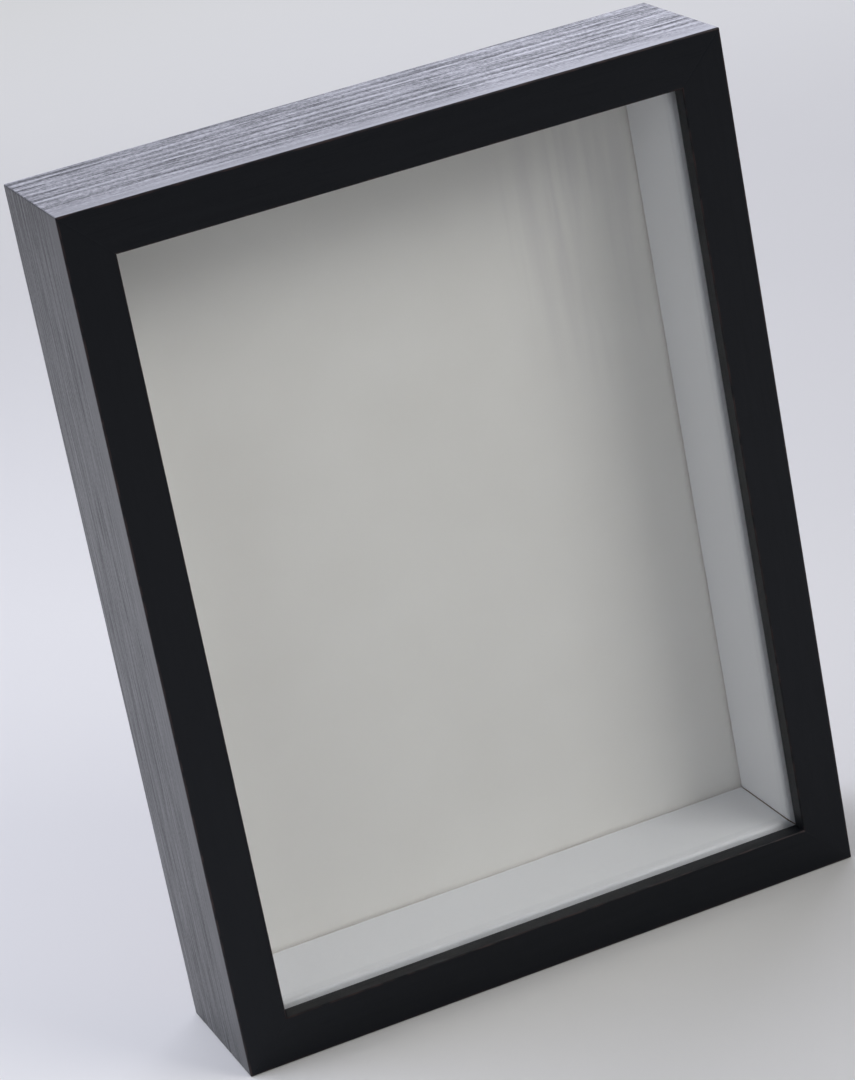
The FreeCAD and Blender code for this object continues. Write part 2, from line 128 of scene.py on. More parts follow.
def floor_material():
    """Matt pale paper with the faintest mottling, which fades into the backdrop's tone far out."""
    material, nodes, links, surface = new_material("pale_floor")
    surface.inputs["Roughness"].default_value = 0.9
    surface.inputs["Specular IOR Level"].default_value = 0.1
    place = nodes.new("ShaderNodeTexCoord")
    mottle = nodes.new("ShaderNodeTexNoise")
    mottle.inputs["Scale"].default_value = 6.0
    links.new(place.outputs["Object"], mottle.inputs["Vector"])
    tone = ramp(nodes, links, mottle.outputs["Fac"], (0.0, (0.82, 0.81, 0.78)), (1.0, (0.86, 0.85, 0.81)))
    links.new(tone, surface.inputs["Base Color"])
    distance = nodes.new("ShaderNodeVectorMath")
    distance.operation = "LENGTH"
    far = nodes.new("ShaderNodeMapRange")
    far.interpolation_type = "SMOOTHSTEP"
    far.inputs["From Min"].default_value = fade_start
    far.inputs["From Max"].default_value = fade_end
    direct = nodes.new("ShaderNodeLightPath")
    hidden = nodes.new("ShaderNodeMath")
    hidden.operation = "MULTIPLY"
    fade = nodes.new("ShaderNodeMixShader")
    pale = nodes.new("ShaderNodeEmission")
    pale.inputs["Color"].default_value = backdrop_colour
    pale.inputs["Strength"].default_value = backdrop_strength
    links.new(place.outputs["Object"], distance.inputs[0])
    links.new(distance.outputs["Value"], far.inputs["Value"])
    links.new(far.outputs["Result"], hidden.inputs[0])
    links.new(direct.outputs["Is Camera Ray"], hidden.inputs[1])
    links.new(hidden.outputs[0], fade.inputs["Fac"])
    links.new(surface.outputs["BSDF"], fade.inputs[1])
    links.new(pale.outputs["Emission"], fade.inputs[2])
    links.new(fade.outputs[0], nodes["Material Output"].inputs["Surface"])
    return material


floor_corners = [(-reach, -reach, 0), (reach, -reach, 0), (reach, reach, 0), (-reach, reach, 0)]
floor = new_mesh_object("floor", floor_corners, [(0, 1, 2, 3)])
floor.data.materials.append(floor_material())

centre = (0, 0, middle)
area_light("panel_behind", (0.35, 1.30, 0.72), centre, (2.2, 0.9), 13.8, (0.83, 0.845, 1.0))
area_light("panel_behind_right", (0.95, 1.30, 0.72), centre, (0.9, 0.9), 1.8, (0.84, 0.86, 1.0))
pool = area_light("floor_pool", (-0.55, 0.30, 0.70), (-0.24, 0.10, 0), (0.9, 0.9), 1.75, (0.81, 0.84, 1.0))
pool.data.spread = 1.3
area_light("key_softbox", (0.62, -0.80, 0.88), centre, (0.55, 0.55), 4.8, (1.0, 0.985, 0.975))
area_light("fill_left", (-0.90, -0.80, 0.62), centre, (0.6, 0.6), 1.6, (0.92, 0.95, 1.0))
area_light("fill_above", (0.10, -0.30, 1.30), centre, (0.8, 0.5), 0.5, (1.0, 0.99, 0.98))

world = bpy.data.worlds.new("surround")
world.use_nodes = True
sky, sky_links = world.node_tree.nodes, world.node_tree.links
sky["Background"].inputs["Color"].default_value = (0.92, 0.94, 1.0, 1)
sky["Background"].inputs["Strength"].default_value = 0.11
backdrop = sky.new("ShaderNodeBackground")
backdrop.inputs["Color"].default_value = backdrop_colour
backdrop.inputs["Strength"].default_value = backdrop_strength
seen_directly = sky.new("ShaderNodeLightPath")
either = sky.new("ShaderNodeMixShader")
sky_links.new(seen_directly.outputs["Is Camera Ray"], either.inputs["Fac"])
sky_links.new(sky["Background"].outputs[0], either.inputs[1])
sky_links.new(backdrop.outputs[0], either.inputs[2])
sky_links.new(either.outputs[0], sky["World Output"].inputs["Surface"])
bpy.context.scene.world = world


# ---- The case's four mouldings --------------------------------------------------------------------------
# Wood fibre mouldings with an L section, wrapped in black embossed wood-grain foil and cut at 45 degrees.
# The foil is drawn tight over a small radius at the front, so a little of the brown core shows through
# there, and each mitre shows as a hairline.

MM = 0.001
lip_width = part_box("left_stile")[1].x + half_width
lip_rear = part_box("glass_pane")[0].y
wall = 6.0 * MM
foil_depth = 0.2 * MM
grain_depth = 0.16 * MM
grain_level = 0.62
calm_reach, calm_least = 12 * MM, 0.12
mitre_easing, mitre_easing_reach = 0.02 * MM, 0.2 * MM
corner_radius = 0.35 * MM
lip_grain, front_grain_loss = 0.35, 0.16


def smooth_field(across, along, seed):
    """Value noise: a 256 by 256 table of random numbers read between its cells with smooth steps."""
    table = np.random.default_rng(seed).random((256, 256))
    across, along = np.broadcast_arrays(across, along)
    cell_a, cell_b = np.floor(across).astype(int), np.floor(along).astype(int)
    a, b = across - cell_a, along - cell_b
    a, b = a * a * (3 - 2 * a), b * b * (3 - 2 * b)
    low_a, high_a = cell_a % 256, (cell_a + 1) % 256
    low_b, high_b = cell_b % 256, (cell_b + 1) % 256
    near = table[low_a, low_b] * (1 - b) + table[low_a, high_b] * b
    far = table[high_a, low_b] * (1 - b) + table[high_a, high_b] * b
    return near * (1 - a) + far * a


def rounded_outline(corners, radii, steps, arc_steps=5):
    """A closed outline of straight sides with an arc at each right-angled corner, solid on its left.

    An arc is centre - to * r cos(phi) + from * r sin(phi), with from and to the directions before and
    after the corner and phi from 0 to a quarter turn. Side k, after corner k, is cut into steps of about
    steps[k]. Returns the points, the directions into the solid, the distance run and which arc a point is
    on, or -1.
    """
    corners = np.array(corners, float)
    phi = np.linspace(0, math.pi / 2, arc_steps + 1)[:, None]
    points, tangents, arcs = [], [], []
    for k, corner in enumerate(corners):
        before, after = corners[k - 1], corners[(k + 1) % len(corners)]
        come = (corner - before) / np.linalg.norm(corner - before)
        go = (after - corner) / np.linalg.norm(after - corner)
        centre_point = corner + (go - come) * radii[k]
        points.append(centre_point - go * radii[k] * np.cos(phi) + come * radii[k] * np.sin(phi))
        tangents.append(come * np.cos(phi) + go * np.sin(phi))
        arcs.append(np.full(len(phi), k))
        start = corner + go * radii[k]
        stop = after - go * radii[(k + 1) % len(corners)]
        cuts = max(2, round(np.linalg.norm(stop - start) / steps[k]))
        share = (np.arange(1, cuts) / cuts)[:, None]
        points.append(start + (stop - start) * share)
        tangents.append(np.repeat(go[None], cuts - 1, 0))
        arcs.append(np.full(cuts - 1, -1))
    points, tangents, arcs = np.concatenate(points), np.concatenate(tangents), np.concatenate(arcs)
    run = np.concatenate([[0], np.cumsum(np.linalg.norm(np.diff(points, axis=0), axis=1))])
    inward = np.stack([-tangents[:, 1], tangents[:, 0]], 1)
    return points, inward, run, arcs


def tube_faces(rows, columns):
    """Quads of a closed grid of rows, each a ring of columns, and one face over each end."""
    row, column = np.meshgrid(np.arange(rows - 1), np.arange(columns), indexing="ij")
    following = (column + 1) % columns
    this_row, next_row = row * columns, (row + 1) * columns
    quads = np.stack([this_row + column, this_row + following, next_row + following, next_row + column], -1)
    first_end = list(range(columns))[::-1]
    last_end = list(range((rows - 1) * columns, rows * columns))
    return quads.reshape(-1, 4).tolist() + [first_end, last_end]


def row_shares(length, step, end_steps):
    """Places along a strip from -1 to 1: evenly cut, with the steps in end_steps packed at each end."""
    ends = np.array(end_steps) / (length / 2)
    cuts = round((length - 2 * end_steps[-1]) / step)
    inner = np.linspace(-1 + ends[-1], 1 - ends[-1], cuts + 1)
    return np.concatenate([-1 + ends[:-1], inner, 1 - ends[:-1][::-1]])


def place_side(side, along, outward, depth):
    """Turns a strip's own coordinates about the box's middle: along it, outward from the middle, depth."""
    turned = {
        "top": (along, outward),
        "right": (outward, -along),
        "bottom": (-along, -outward),
        "left": (-outward, along),
    }[side]
    return np.stack([turned[0], depth, middle + turned[1]], -1).reshape(-1, 3)


def set_attribute(piece, name, values):
    """Stores one number per point under a name that the material reads."""
    attribute = piece.data.attributes.new(name, "FLOAT", "POINT")
    attribute.data.foreach_set("value", values.astype(np.float32).ravel())


def wood_grain(across, lengthwise, pitch, regular, seed):
    """The grain's height from 0 to 1, at places given in millimetres across it and along it.

    Bands are a cosine of the given pitch, faded by a smooth field, and regular is their share. Finer streaks
    and pores are smooth fields drawn out lengthwise. A slow field and a slight lean make all of them drift.
    """
    drift = 1.6 * (smooth_field(across / 30, lengthwise / 70, seed) - 0.5) + 0.012 * lengthwise
    ripple = np.cos(2 * math.pi * (across + drift) / pitch)
    bands = 0.5 + 0.5 * ripple * smooth_field(across / pitch, lengthwise / 24, seed + 1)
    streaks = smooth_field((across + drift) / (0.3 * pitch), lengthwise / 15, seed + 2)
    pores = smooth_field((across + drift) / 0.45, lengthwise / 6, seed + 3)
    pore_share = 0.2
    return regular * bands + (1 - pore_share - regular) * streaks + pore_share * pores


def rounded_end(along, depth_in, half_length):
    """Rounds the case's corner: within its radius r, a place at depth d is moved to an arc of r - d."""
    past = np.abs(along) - (half_length - corner_radius)
    left_over = corner_radius - depth_in
    turning = (past > 0) & (left_over > 0)
    shrink = np.where(turning, left_over / np.maximum(np.hypot(past, left_over), 1e-9), 1.0)
    turned = np.sign(along) * (half_length - corner_radius + past * shrink)
    return np.where(turning, turned, along), np.where(turning, corner_radius - left_over * shrink, depth_in)


def moulding(side, length, half_span, pitch, regular, bold, foil, seed):
    """One side of the case: the L section carried along its length, with its grain pressed into it.

    A section point at depth d inward from the outer face runs to length / 2 - d, which makes the mitre. The
    grain is weaker near the front and is pressed inward only, by a depth times (1 - its height).
    """
    fine, coarse = 0.2 * MM, 2.5 * MM
    corners = [
        (0, -half_depth),
        (lip_width, -half_depth),
        (lip_width, lip_rear),
        (wall, lip_rear),
        (wall, half_depth),
        (0, half_depth),
    ]
    radii = np.array([0.5, 0.3, 0.15, 0.2, 0.3, 1.0]) * MM
    steps = [fine, 0.5 * MM, coarse, coarse, 1.0 * MM, fine]
    foil_arcs = [0, 1, 5]
    section, inward, run, arcs = rounded_outline(corners, radii, steps)
    end_steps = np.array([0, 0.05, 0.1, 0.2, 0.35, 0.6, 1.0]) * MM
    shares = row_shares(length, 1.3 * MM, end_steps)
    depth_in, depth_back = section[:, 0][None], section[:, 1][None]
    along = shares[:, None] * (length / 2 - depth_in)
    across, lengthwise = run[None] / MM, along / MM
    grain = wood_grain(across, lengthwise, pitch, regular, seed)
    from_front = np.clip((depth_back + half_depth) / calm_reach, 0, 1)
    calm = bold * (calm_least + (1 - calm_least) * from_front * from_front * (3 - 2 * from_front))
    grain = grain_level + (grain - grain_level) * calm
    seen = ((depth_in < foil_depth) | (depth_back < -half_depth + foil_depth)).astype(float)
    to_mitre = (length / 2 - depth_in) * (1 - np.abs(shares[:, None]))
    easing = mitre_easing * np.exp(-((to_mitre / mitre_easing_reach) ** 2))
    pressed = grain_depth * (1 - grain) * seen + easing
    depth_in = depth_in + inward[None, :, 0] * pressed
    depth_back = depth_back + inward[None, :, 1] * pressed
    along = shares[:, None] * (length / 2 - depth_in)
    along, depth_in = rounded_end(along, depth_in, length / 2)
    rows, columns = along.shape
    points = place_side(side, along, half_span - depth_in, depth_back)
    piece = new_mesh_object(f"{side}_moulding", points, tube_faces(rows, columns))
    worn = np.isin(arcs, foil_arcs)[None] * np.ones((rows, 1))
    noise = smooth_field(lengthwise / 1.7, across / 0.6, seed + 4)
    set_attribute(piece, "edge", worn * (0.35 + 0.65 * noise))
    front = np.clip(1 - (depth_back + half_depth) / (0.5 * MM), 0, 1)
    shown = np.where(depth_in > lip_width - 0.35 * MM, lip_grain, grain - front_grain_loss * front)
    set_attribute(piece, "grain", shown * np.ones_like(along))
    set_attribute(piece, "bold", calm * np.ones_like(along))
    piece.data.shade_smooth()
    nearly = 0.01 * MM
    bare = (arcs == -1) & (section[:, 0] > wall - nearly) & (section[:, 1] > lip_rear - nearly)
    bare_faces = np.tile(bare | np.roll(bare, -1), rows - 1).astype(int)
    piece.data.materials.append(foil)
    piece.data.materials.append(fibre)
    piece.data.polygons.foreach_set("material_index", np.append(bare_faces, [1, 1]))
    for cap in piece.data.polygons[-2:]:
        cap.use_smooth = False
    return piece


def new_group(name, inputs, outputs):
    """An empty shader node group, with inputs (name, type, starting value) and outputs (name, type)."""
    group = bpy.data.node_groups.new(name, "ShaderNodeTree")
    for label, kind, value in inputs:
        socket = group.interface.new_socket(label, in_out="INPUT", socket_type=kind)
        if value is not None:
            socket.default_value = value
    for label, kind in outputs:
        group.interface.new_socket(label, in_out="OUTPUT", socket_type=kind)
    return group, group.nodes.new("NodeGroupInput"), group.nodes.new("NodeGroupOutput")


def math_node(nodes, links, operation, a, b=None):
    """A Math node; a and b are sockets or plain numbers."""
    node = nodes.new("ShaderNodeMath")
    node.operation = operation
    for slot_number, value in enumerate((a, b)):
        if value is None:
            continue
        if isinstance(value, (int, float)):
            node.inputs[slot_number].default_value = value
        else:
            links.new(value, node.inputs[slot_number])
    return node.outputs[0]


def speckle_group():
    """Fine two-scale speckle for fibre, paper, foil and metal: a mask and a height, from noise."""
    group, start, end = new_group(
        "speckle",
        [("Vector", "NodeSocketVector", None), ("Scale", "NodeSocketFloat", 900.0)],
        [("Mask", "NodeSocketFloat"), ("Height", "NodeSocketFloat")],
    )
    nodes, links = group.nodes, group.links
    fine, broad = nodes.new("ShaderNodeTexNoise"), nodes.new("ShaderNodeTexNoise")
    fine.inputs["Detail"].default_value = 4.0
    broad.inputs["Detail"].default_value = 2.0
    links.new(start.outputs["Vector"], fine.inputs["Vector"])
    links.new(start.outputs["Vector"], broad.inputs["Vector"])
    links.new(start.outputs["Scale"], fine.inputs["Scale"])
    links.new(math_node(nodes, links, "MULTIPLY", start.outputs["Scale"], 0.04), broad.inputs["Scale"])
    gentle = math_node(nodes, links, "MULTIPLY_ADD", broad.outputs["Fac"], 0.35)
    gentle.node.inputs[2].default_value = 0.85
    links.new(math_node(nodes, links, "MULTIPLY", fine.outputs["Fac"], gentle), end.inputs["Mask"])
    links.new(fine.outputs["Fac"], end.inputs["Height"])
    return group


def pore_group():
    """Wood pores: noise squeezed across the grain and drawn out along it, cut to thin dashes."""
    group, start, end = new_group(
        "wood_pores",
        [("Vector", "NodeSocketVector", None), ("Pitch", "NodeSocketFloat", 2400.0)],
        [("Pores", "NodeSocketFloat"), ("Fibre", "NodeSocketFloat")],
    )
    nodes, links = group.nodes, group.links
    stretched = nodes.new("ShaderNodeVectorMath")
    stretched.operation = "MULTIPLY"
    stretched.inputs[1].default_value = (0.03, 1.0, 1.0)
    links.new(start.outputs["Vector"], stretched.inputs[0])
    pores, fibre = nodes.new("ShaderNodeTexNoise"), nodes.new("ShaderNodeTexNoise")
    pores.inputs["Detail"].default_value = 2.0
    fibre.inputs["Detail"].default_value = 6.0
    links.new(stretched.outputs[0], pores.inputs["Vector"])
    links.new(stretched.outputs[0], fibre.inputs["Vector"])
    links.new(start.outputs["Pitch"], pores.inputs["Scale"])
    links.new(math_node(nodes, links, "MULTIPLY", start.outputs["Pitch"], 0.33), fibre.inputs["Scale"])
    cut = nodes.new("ShaderNodeMapRange")
    cut.inputs["From Min"].default_value = 0.42
    cut.inputs["From Max"].default_value = 0.36
    links.new(pores.outputs["Fac"], cut.inputs["Value"])
    links.new(cut.outputs["Result"], end.inputs["Pores"])
    links.new(fibre.outputs["Fac"], end.inputs["Fibre"])
    return group


speckle = speckle_group()
wood_pores = pore_group()


def place_group(nodes, links, group, vector, **values):
    """Puts a node group into a material, fed by vector, with values for its other inputs."""
    node = nodes.new("ShaderNodeGroup")
    node.node_tree = group
    links.new(vector, node.inputs["Vector"])
    for label, value in values.items():
        node.inputs[label].default_value = value
    return node


def value_map(nodes, links, value, from_low, from_high, low, high):
    """Maps value from one range to another, clamped."""
    node = nodes.new("ShaderNodeMapRange")
    node.inputs["From Min"].default_value = from_low
    node.inputs["From Max"].default_value = from_high
    node.inputs["To Min"].default_value = low
    node.inputs["To Max"].default_value = high
    links.new(value, node.inputs["Value"])
    return node.outputs["Result"]


def bump(nodes, links, surface, height, distance):
    """Feeds the surface's normal from a height, with distance as its depth in metres."""
    node = nodes.new("ShaderNodeBump")
    node.inputs["Strength"].default_value = 1.0
    node.inputs["Distance"].default_value = distance
    links.new(height, node.inputs["Height"])
    links.new(node.outputs["Normal"], surface.inputs["Normal"])


def mix_colour(nodes, links, share, a, b):
    """A colour between a and b, each a socket or an (r, g, b); share is a socket."""
    node = nodes.new("ShaderNodeMix")
    node.data_type = "RGBA"
    links.new(share, node.inputs[0])
    for socket, value in ((node.inputs[6], a), (node.inputs[7], b)):
        if isinstance(value, tuple):
            socket.default_value = (*value, 1)
        else:
            links.new(value, socket)
    return node.outputs[2]


def read_attribute(nodes, name):
    """The number stored on the piece's points under a name."""
    node = nodes.new("ShaderNodeAttribute")
    node.attribute_name = name
    return node.outputs["Fac"]


def black_foil(name, turn):
    """Black embossed foil: near black, with satin ridges, dull pores and brown at the worn edges."""
    material, nodes, links, surface = new_material(name)
    place = nodes.new("ShaderNodeTexCoord")
    along = nodes.new("ShaderNodeMapping")
    along.inputs["Rotation"].default_value = (0, turn, 0)
    links.new(place.outputs["Object"], along.inputs["Vector"])
    pores = place_group(nodes, links, wood_pores, along.outputs[0], Pitch=2400.0)
    grain = read_attribute(nodes, "grain")
    bold = read_attribute(nodes, "bold")
    furrow_black, ridge_black = (0.0024, 0.0036, 0.0062), (0.0034, 0.0050, 0.0088)
    black = ramp(nodes, links, grain, (0.3, furrow_black), (0.7, ridge_black))
    worn = value_map(nodes, links, read_attribute(nodes, "edge"), 0.45, 1.0, 0.0, 0.55)
    links.new(mix_colour(nodes, links, worn, black, (0.070, 0.040, 0.036)), surface.inputs["Base Color"])
    flecks = place_group(nodes, links, speckle, along.outputs[0], Scale=1300.0)
    uneven = math_node(nodes, links, "SUBTRACT", flecks.outputs["Height"], 0.5)
    doubled = math_node(nodes, links, "MULTIPLY", uneven, 2.0)
    dents = math_node(nodes, links, "SUBTRACT", doubled, pores.outputs["Pores"])
    weight = math_node(nodes, links, "MULTIPLY", bold, 0.55)
    dents = math_node(nodes, links, "MULTIPLY", dents, weight)
    open_grain = math_node(nodes, links, "ADD", grain, dents)
    links.new(value_map(nodes, links, open_grain, 0.25, 0.75, 0.55, 0.34), surface.inputs["Roughness"])
    links.new(value_map(nodes, links, open_grain, 0.05, 0.75, 0.08, 1.0), surface.inputs["Coat Weight"])
    surface.inputs["Coat Roughness"].default_value = 0.28
    surface.inputs["Coat IOR"].default_value = 1.30
    surface.inputs["Specular IOR Level"].default_value = 0.10
    relief = math_node(nodes, links, "SUBTRACT", pores.outputs["Fibre"], pores.outputs["Pores"])
    relief = math_node(nodes, links, "MULTIPLY", relief, bold)
    bump(nodes, links, surface, relief, 0.03 * MM)
    return material


def raw_fibre():
    """Sawn wood fibre board, as in the rebate and the cut ends: mid brown and speckled."""
    material, nodes, links, surface = new_material("raw_fibre")
    place = nodes.new("ShaderNodeTexCoord")
    dots = place_group(nodes, links, speckle, place.outputs["Object"], Scale=2500.0)
    colour = ramp(nodes, links, dots.outputs["Mask"], (0.3, (0.16, 0.095, 0.05)), (0.8, (0.30, 0.19, 0.11)))
    links.new(colour, surface.inputs["Base Color"])
    surface.inputs["Roughness"].default_value = 0.85
    bump(nodes, links, surface, dots.outputs["Height"], 0.05 * MM)
    return material


fibre = raw_fibre()
foil_level = black_foil("black_foil_level", 0.0)
foil_upright = black_foil("black_foil_upright", math.pi / 2)

# Side, CAD node, length, distance from the middle, grain pitch in mm, share of bands, boldness, foil
sides = [
    ("top", "top_rail", 2 * half_width, height / 2, 4.0, 0.52, 0.95, foil_level),
    ("right", "right_stile", height, half_width, 2.6, 0.20, 0.70, foil_upright),
    ("bottom", "bottom_rail", 2 * half_width, height / 2, 3.4, 0.35, 0.80, foil_level),
    ("left", "left_stile", height, half_width, 2.2, 0.12, 0.36, foil_upright),
]
for number, (side, node, length, half_span, pitch, regular, bold, foil) in enumerate(sides):
    piece = moulding(side, length, half_span, pitch, regular, bold, foil, 10 * number + 3)
    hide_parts(node)
    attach(piece, "frame")


# ---- Glass ----------------------------------------------------------------------------------------------
# A 2 mm pane of clear float glass, faintly green, that lies behind the lip and is held there by the spacer
# walls.


def float_glass():
    """Clear glass, which lamplight passes with the small loss of the pane instead of throwing a shadow."""
    material, nodes, links, surface = new_material("float_glass")
    surface.inputs["Transmission Weight"].default_value = 1.0
    surface.inputs["IOR"].default_value = 1.52
    surface.inputs["Base Color"].default_value = (0.985, 0.992, 0.988, 1)
    surface.inputs["Roughness"].default_value = 0.0
    clear = nodes.new("ShaderNodeBsdfTransparent")
    clear.inputs["Color"].default_value = (0.955, 0.96, 0.957, 1)
    path = nodes.new("ShaderNodeLightPath")
    mix = nodes.new("ShaderNodeMixShader")
    links.new(path.outputs["Is Shadow Ray"], mix.inputs["Fac"])
    links.new(surface.outputs["BSDF"], mix.inputs[1])
    links.new(clear.outputs["BSDF"], mix.inputs[2])
    links.new(mix.outputs["Shader"], nodes["Material Output"].inputs["Surface"])
    return material


def dress(node, material):
    """Gives a CAD node a material in place of its packed one."""
    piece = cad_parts[node]
    if not piece.material_slots:
        piece.data.materials.append(material)
    for material_slot in piece.material_slots:
        material_slot.material = material


dress("glass_pane", float_glass())


# ---- Spacer walls ---------------------------------------------------------------------------------------
# Four strips of wood fibre wrapped in white foil stand on edge between the glass and the card. Their mitres
# are cut a little short, so a thin brown gap shows in each corner. Along the rear inner edge, where each
# strip meets the card, a thin brown line of painted shade is added.

mitre_gap = 0.16 * MM


def spacer(side, length, half_span, seed):
    """A white strip: a rectangle with rounded edges carried along its length, mitred with a small gap."""
    near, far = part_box("spacer_top")
    thickness = far.z - near.z
    corners = [(0, near.y), (thickness, near.y), (thickness, far.y), (0, far.y)]
    radii = np.array([0.2, 1.0, 0.35, 0.2]) * MM
    steps = np.array([1.0, 0.5, 1.0, 2.0]) * MM
    painted_shade_arc = 2
    section, inward, run, arcs = rounded_outline(corners, radii, steps)
    shares = row_shares(length, 2.0 * MM, [0, 0.1 * MM, 0.25 * MM, 0.5 * MM])
    depth_in, depth_back = section[:, 0][None], section[:, 1][None]
    lengthwise = shares[:, None] * length / MM
    wave = smooth_field(run[None] / MM / 9, lengthwise / 28, seed) - 0.5
    sunk = 0.05 * MM * np.abs(wave)
    depth_in = depth_in + inward[None, :, 0] * sunk
    depth_back = depth_back + inward[None, :, 1] * sunk
    along = shares[:, None] * (length / 2 - depth_in - mitre_gap)
    rows, columns = along.shape
    points = place_side(side, along, half_span - depth_in, depth_back)
    piece = new_mesh_object(f"white_spacer_{side}", points, tube_faces(rows, columns))
    from_end = (length / 2) * (1 - np.abs(shares[:, None]))
    # The mask is 1 at the mitre ends, which are cut fibre, and along the rear inner edge, where it is
    # painted shade.
    cut = np.maximum((arcs == painted_shade_arc)[None] * 1.0, np.exp(-((from_end / mitre_gap) ** 2)))
    uneven = smooth_field(lengthwise / 2.5, run[None] / MM, seed + 5)
    set_attribute(piece, "edge", cut * (0.6 + 0.4 * uneven))
    piece.data.shade_smooth()
    return piece


def white_foil():
    """White satin foil with a fine tooth, over fibre that shows brown at its cut mitre ends, with brown
    painted shade along its rear inner edge.
    """
    material, nodes, links, surface = new_material("white_foil")
    place = nodes.new("ShaderNodeTexCoord")
    dots = place_group(nodes, links, speckle, place.outputs["Object"], Scale=1500.0)
    colour = ramp(nodes, links, dots.outputs["Mask"], (0.2, (0.70, 0.71, 0.74)), (0.8, (0.76, 0.765, 0.785)))
    cut = value_map(nodes, links, read_attribute(nodes, "edge"), 0.2, 1.0, 0.0, 0.75)
    # Brown: cut fibre at the mitre ends, and painted shade along the rear inner edge by the card.
    links.new(mix_colour(nodes, links, cut, colour, (0.22, 0.13, 0.09)), surface.inputs["Base Color"])
    satin = value_map(nodes, links, dots.outputs["Mask"], 0.2, 0.8, 0.52, 0.64)
    links.new(satin, surface.inputs["Roughness"])
    bump(nodes, links, surface, dots.outputs["Height"], 0.02 * MM)
    return material


white = white_foil()
spacers_half_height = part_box("spacer_top")[1].z - middle
spacers_half_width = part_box("spacer_right")[1].x
for number, side in enumerate(("top", "right", "bottom", "left")):
    level = side in ("top", "bottom")
    half_length = spacers_half_width if level else spacers_half_height
    half_span = spacers_half_height if level else spacers_half_width
    piece = spacer(side, 2 * half_length, half_span, 60 + number)
    piece.data.materials.append(white)
    piece.data.materials.append(fibre)
    for cap in piece.data.polygons[-2:]:
        cap.material_index = 1
        cap.use_smooth = False
    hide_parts(f"spacer_{side}")
    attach(piece, "frame")


# ---- Display card ---------------------------------------------------------------------------------------
# A sheet of pasteboard with an off-white uncoated paper face. It is very slightly cockled towards its upper
# right, where faint darker upright streaks are painted on the paper, a painted reflection of streaks in the
# glass in front of it.

cockle_x, cockle_z, cockle_pitch, cockle_depth = 46 * MM, 172 * MM, 10.5 * MM, 0.08 * MM
cockle_half_width, cockle_half_height = 18 * MM, 40 * MM
painted_streak_centre, painted_streak_reach = (0.052, 0.0123, 0.175), (0.030, 0.2, 0.055)


def display_card():
    """A rounded rectangle carried across the width, its front face waved by a sine that fades out.

    The wave is a * (1 + sin(2 pi (x / pitch + slant))) times a bell about the upper right, added to a broad
    smooth field, and it only ever sinks away from the front.
    """
    low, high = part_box("display_card")
    corners = [(low.z, high.y), (high.z, high.y), (high.z, low.y), (low.z, low.y)]
    steps = np.array([12, 0.6, 1.6, 0.6]) * MM
    section = rounded_outline(corners, [0.15 * MM] * 4, steps, 3)[0]
    shares = row_shares(high.x - low.x, 1.6 * MM, [0, 0.1 * MM])[:, None]
    across = low.x + (high.x - low.x) * (shares + 1) / 2
    up = section[:, 0][None] + 0 * across
    back = section[:, 1][None] + 0 * across
    sideways, upwards = (across - cockle_x) / cockle_half_width, (up - cockle_z) / cockle_half_height
    bell = np.exp(-(sideways**2) - upwards**2)
    slant = 7 * up
    wave = cockle_depth * bell * (1 + np.sin(2 * math.pi * (across / cockle_pitch + slant)))
    broad = 0.35 * MM * smooth_field(across / (45 * MM), up / (60 * MM), 71)
    back = back + np.where(back < low.y + 0.2 * MM, wave + broad, 0)
    rows, columns = across.shape[0], section.shape[0]
    points = np.stack([across + 0 * up, back, up], -1).reshape(-1, 3)
    piece = new_mesh_object("pasteboard_card", points, tube_faces(rows, columns))
    piece.data.shade_smooth()
    return piece


def card_paper():
    """Uncoated paper: warm white and cloudy, with a soft tooth and darker upright streaks of painted
    reflection.
    """
    material, nodes, links, surface = new_material("display_card_paper")
    place = nodes.new("ShaderNodeTexCoord")
    tooth = place_group(nodes, links, speckle, place.outputs["Object"], Scale=2200.0)
    cloud = nodes.new("ShaderNodeTexNoise")
    cloud.inputs["Scale"].default_value = 38.0
    cloud.inputs["Detail"].default_value = 5.0
    links.new(place.outputs["Object"], cloud.inputs["Vector"])
    grey_paper, pale_paper = (0.756, 0.742, 0.709), (0.786, 0.774, 0.744)
    paper = ramp(nodes, links, cloud.outputs["Fac"], (0.3, grey_paper), (0.7, pale_paper))
    # Painted reflection: darker upright streaks in a patch about the upper right, standing in for streaks in
    # the glass.
    column = nodes.new("ShaderNodeMapping")
    column.vector_type = "TEXTURE"
    column.inputs["Location"].default_value = painted_streak_centre
    column.inputs["Scale"].default_value = painted_streak_reach
    links.new(place.outputs["Object"], column.inputs["Vector"])
    upper_right = nodes.new("ShaderNodeTexGradient")
    upper_right.gradient_type = "SPHERICAL"
    links.new(column.outputs[0], upper_right.inputs["Vector"])
    drawn_out = nodes.new("ShaderNodeVectorMath")
    drawn_out.operation = "MULTIPLY"
    drawn_out.inputs[1].default_value = (1.0, 1.0, 0.06)
    links.new(place.outputs["Object"], drawn_out.inputs[0])
    streaks = nodes.new("ShaderNodeTexNoise")
    streaks.inputs["Scale"].default_value = 260.0
    streaks.inputs["Detail"].default_value = 3.0
    links.new(drawn_out.outputs[0], streaks.inputs["Vector"])
    painted_streaks = value_map(nodes, links, streaks.outputs["Fac"], 0.42, 0.62, 0.0, 1.0)
    shaded = math_node(nodes, links, "MULTIPLY", painted_streaks, upper_right.outputs["Fac"])
    links.new(mix_colour(nodes, links, shaded, paper, (0.675, 0.658, 0.648)), surface.inputs["Base Color"])
    surface.inputs["Roughness"].default_value = 0.85
    bump(nodes, links, surface, tooth.outputs["Height"], 0.03 * MM)
    return material


card = display_card()
card.data.materials.append(card_paper())
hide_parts("display_card")
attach(card, "back_panel")


# ---- Back board -----------------------------------------------------------------------------------------
# Brown hardboard, pressed smooth on the outside, with a finger notch in its lower edge. The card is laid on
# it, and the tabs hold both in the case.


